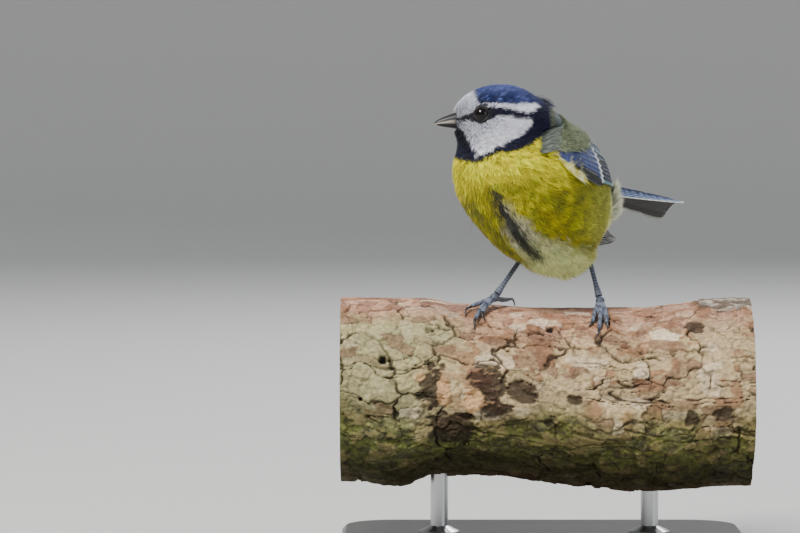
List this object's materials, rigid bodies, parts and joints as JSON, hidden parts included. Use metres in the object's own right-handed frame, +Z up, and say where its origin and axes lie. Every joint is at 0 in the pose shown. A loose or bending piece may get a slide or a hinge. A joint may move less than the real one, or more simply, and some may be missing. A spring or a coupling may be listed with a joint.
{
  "type": "blue tit display model",
  "caption": "Life-size blue tit standing with folded wings, its feet gripping a cut length of old branch that rods hold above a flat base.",
  "frame": {"origin": "centre of the base's underside", "axes": "+Z up, +X along the branch to the right of a viewer who faces the bird's left side, -Y towards that viewer"},
  "size_m": [0.12, 0.1012, 0.1416],
  "materials": {
    "head_plumage": "matte",
    "breast_plumage": "matte",
    "back_plumage": "matte",
    "wing_plumage": "satin",
    "tail_plumage": "satin",
    "bill": "satin",
    "eye": "gloss",
    "leg": "satin",
    "claw": "satin",
    "branch": "rough weathered bark",
    "base": "satin",
    "rod": "satin"
  },
  "bodies": {
    "root": {"head": "head_plumage", "neck": "head_plumage", "torso": "breast_plumage", "rump": "back_plumage", "bill_upper": "bill", "bill_lower": "bill", "eye_left": "eye", "eye_right": "eye", "wing_left": "wing_plumage", "wing_right": "wing_plumage", "tail": "tail_plumage", "thigh_left": "breast_plumage", "shank_left": "leg", "foot_left": "leg", "claw_left_inner": "claw", "claw_left_middle": "claw", "claw_left_outer": "claw", "claw_left_hind": "claw", "thigh_right": "breast_plumage", "shank_right": "leg", "foot_right": "leg", "claw_right_inner": "claw", "claw_right_middle": "claw", "claw_right_outer": "claw", "claw_right_hind": "claw", "perch": "branch", "stand_base": "base", "stand_rod_1": "rod", "stand_rod_2": "rod"}
  },
  "joints": []
}
